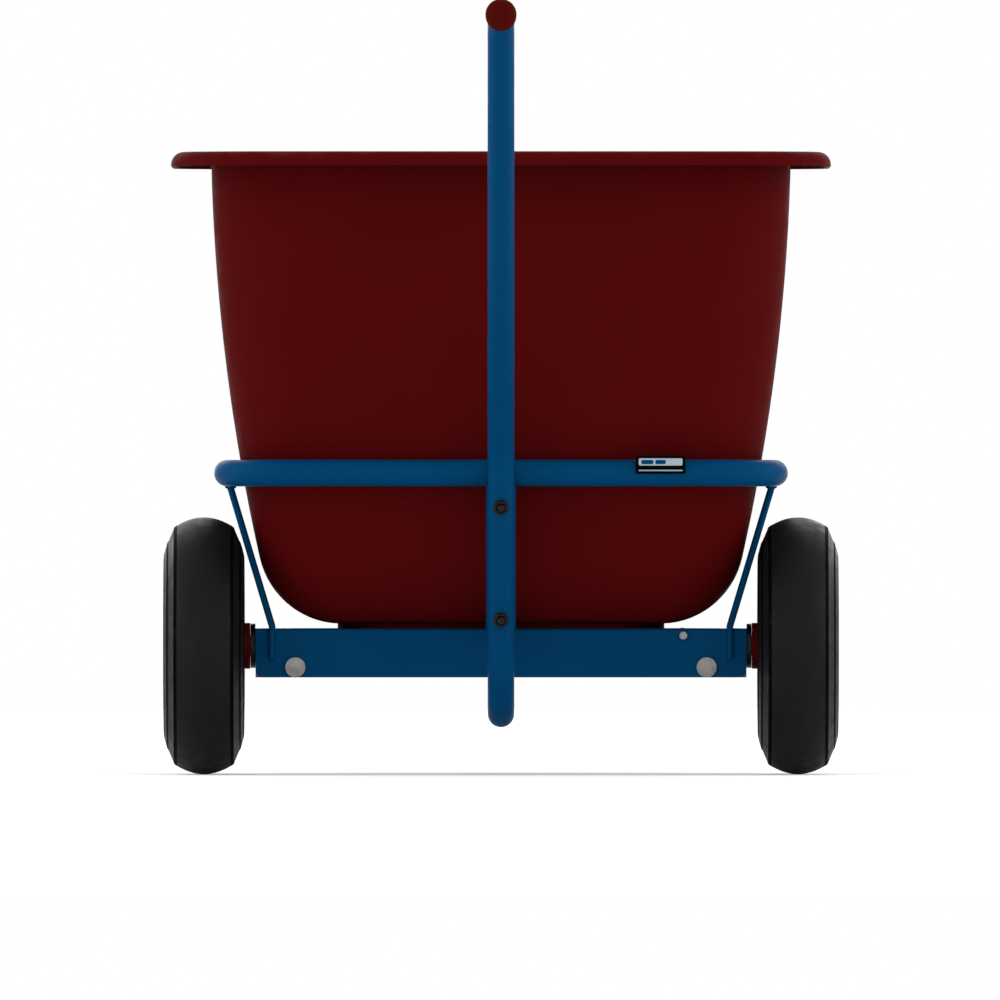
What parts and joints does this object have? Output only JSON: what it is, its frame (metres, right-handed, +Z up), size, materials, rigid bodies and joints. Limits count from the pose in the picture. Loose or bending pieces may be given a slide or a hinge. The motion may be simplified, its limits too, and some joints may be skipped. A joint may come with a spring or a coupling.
{
  "type": "garden spreader",
  "caption": "Walk-behind drop spreader: a deep tub hopper in a tubular hoop frame on two pneumatic wheels, with one central handle and a slotted outlet with a metering slide.",
  "frame": {"origin": "on the ground, below the middle of the whole machine's length and width", "axes": "+X to the user's right, +Y forward, away from the user, +Z up; the wheel axle lies along X"},
  "size_m": [0.6824, 1.1036, 0.7765],
  "materials": {
    "hopper_plastic": "rotationally moulded, faint orange peel",
    "frame_paint": "powder coat, satin",
    "tyre_rubber": "smooth ribless tread, matt",
    "wheel_paint": "powder coat, satin",
    "zinc_steel": "bright zinc plated",
    "stainless_plate": "brushed sheet",
    "bearing_steel": "ground, with dark seals",
    "dark_steel": "blackened",
    "cast_alloy": "as cast",
    "grip_plastic": "soft moulded",
    "black_rubber": "matt",
    "plate_alloy": "satin, blank"
  },
  "bodies": {
    "frame": {"hopper": "hopper_plastic", "axle_beam": "frame_paint", "hoop": "frame_paint", "rear_left_brace": "frame_paint", "rear_right_brace": "frame_paint", "front_left_brace": "frame_paint", "front_right_brace": "frame_paint", "handle_tube": "frame_paint", "handle_strap": "frame_paint", "tube_saddle": "frame_paint", "hopper_screws": "zinc_steel", "hopper_washers": "zinc_steel", "hopper_inserts": "zinc_steel", "outlet_screws": "zinc_steel", "axle_block_bolts": "zinc_steel", "axle_block_nuts": "zinc_steel", "left_thrust_washer": "zinc_steel", "right_thrust_washer": "zinc_steel", "left_axle_washer": "zinc_steel", "right_axle_washer": "zinc_steel", "left_axle_cap": "zinc_steel", "right_axle_cap": "zinc_steel", "left_stub_axle": "zinc_steel", "right_stub_axle": "zinc_steel", "outlet_plate": "stainless_plate", "upper_guide_rail": "stainless_plate", "lower_guide_rail": "stainless_plate", "handle_bolts": "dark_steel", "handle_washers": "dark_steel", "handle_nuts": "dark_steel", "left_axle_block": "cast_alloy", "right_axle_block": "cast_alloy", "grip": "grip_plastic", "tube_foot": "black_rubber", "name_plate": "plate_alloy"},
    "left_wheel": {"left_tyre": "tyre_rubber", "left_rim_outer": "wheel_paint", "left_rim_inner": "wheel_paint", "left_hub": "wheel_paint", "left_bearings": "bearing_steel", "left_rim_bolts": "zinc_steel", "left_rim_nuts": "zinc_steel", "left_valve": "black_rubber"},
    "right_wheel": {"right_tyre": "tyre_rubber", "right_rim_outer": "wheel_paint", "right_rim_inner": "wheel_paint", "right_hub": "wheel_paint", "right_bearings": "bearing_steel", "right_rim_bolts": "zinc_steel", "right_rim_nuts": "zinc_steel", "right_valve": "black_rubber"},
    "rate_control": {"rate_lever": "zinc_steel", "lever_knob": "grip_plastic", "control_shaft": "zinc_steel", "shaft_collar": "zinc_steel", "lever_washer": "zinc_steel", "lever_nut": "zinc_steel"},
    "metering": {"metering_slide": "stainless_plate"}
  },
  "joints": [
    {"name": "left_wheel_spin", "type": "hinge", "parent": "frame", "child": "left_wheel", "pos_m": [-0.3005, 0.183, 0.13], "axis": [1, 0, 0], "continuous": true},
    {"name": "right_wheel_spin", "type": "hinge", "parent": "frame", "child": "right_wheel", "pos_m": [0.3005, 0.183, 0.13], "axis": [1, 0, 0], "continuous": true},
    {"name": "rate_lever_swing", "type": "hinge", "parent": "frame", "child": "rate_control", "pos_m": [0.1844, 0.474, 0.1405], "axis": [0, 1, 0], "range_deg": [0, 50]},
    {"name": "slide_travel", "type": "slide", "parent": "frame", "child": "metering", "axis": [-1, 0, 0], "range_m": [0, 0.02536]}
  ],
  "couplings": [
    {"joint": "slide_travel", "follows": "rate_lever_swing", "m_per_rad": 0.02906}
  ]
}
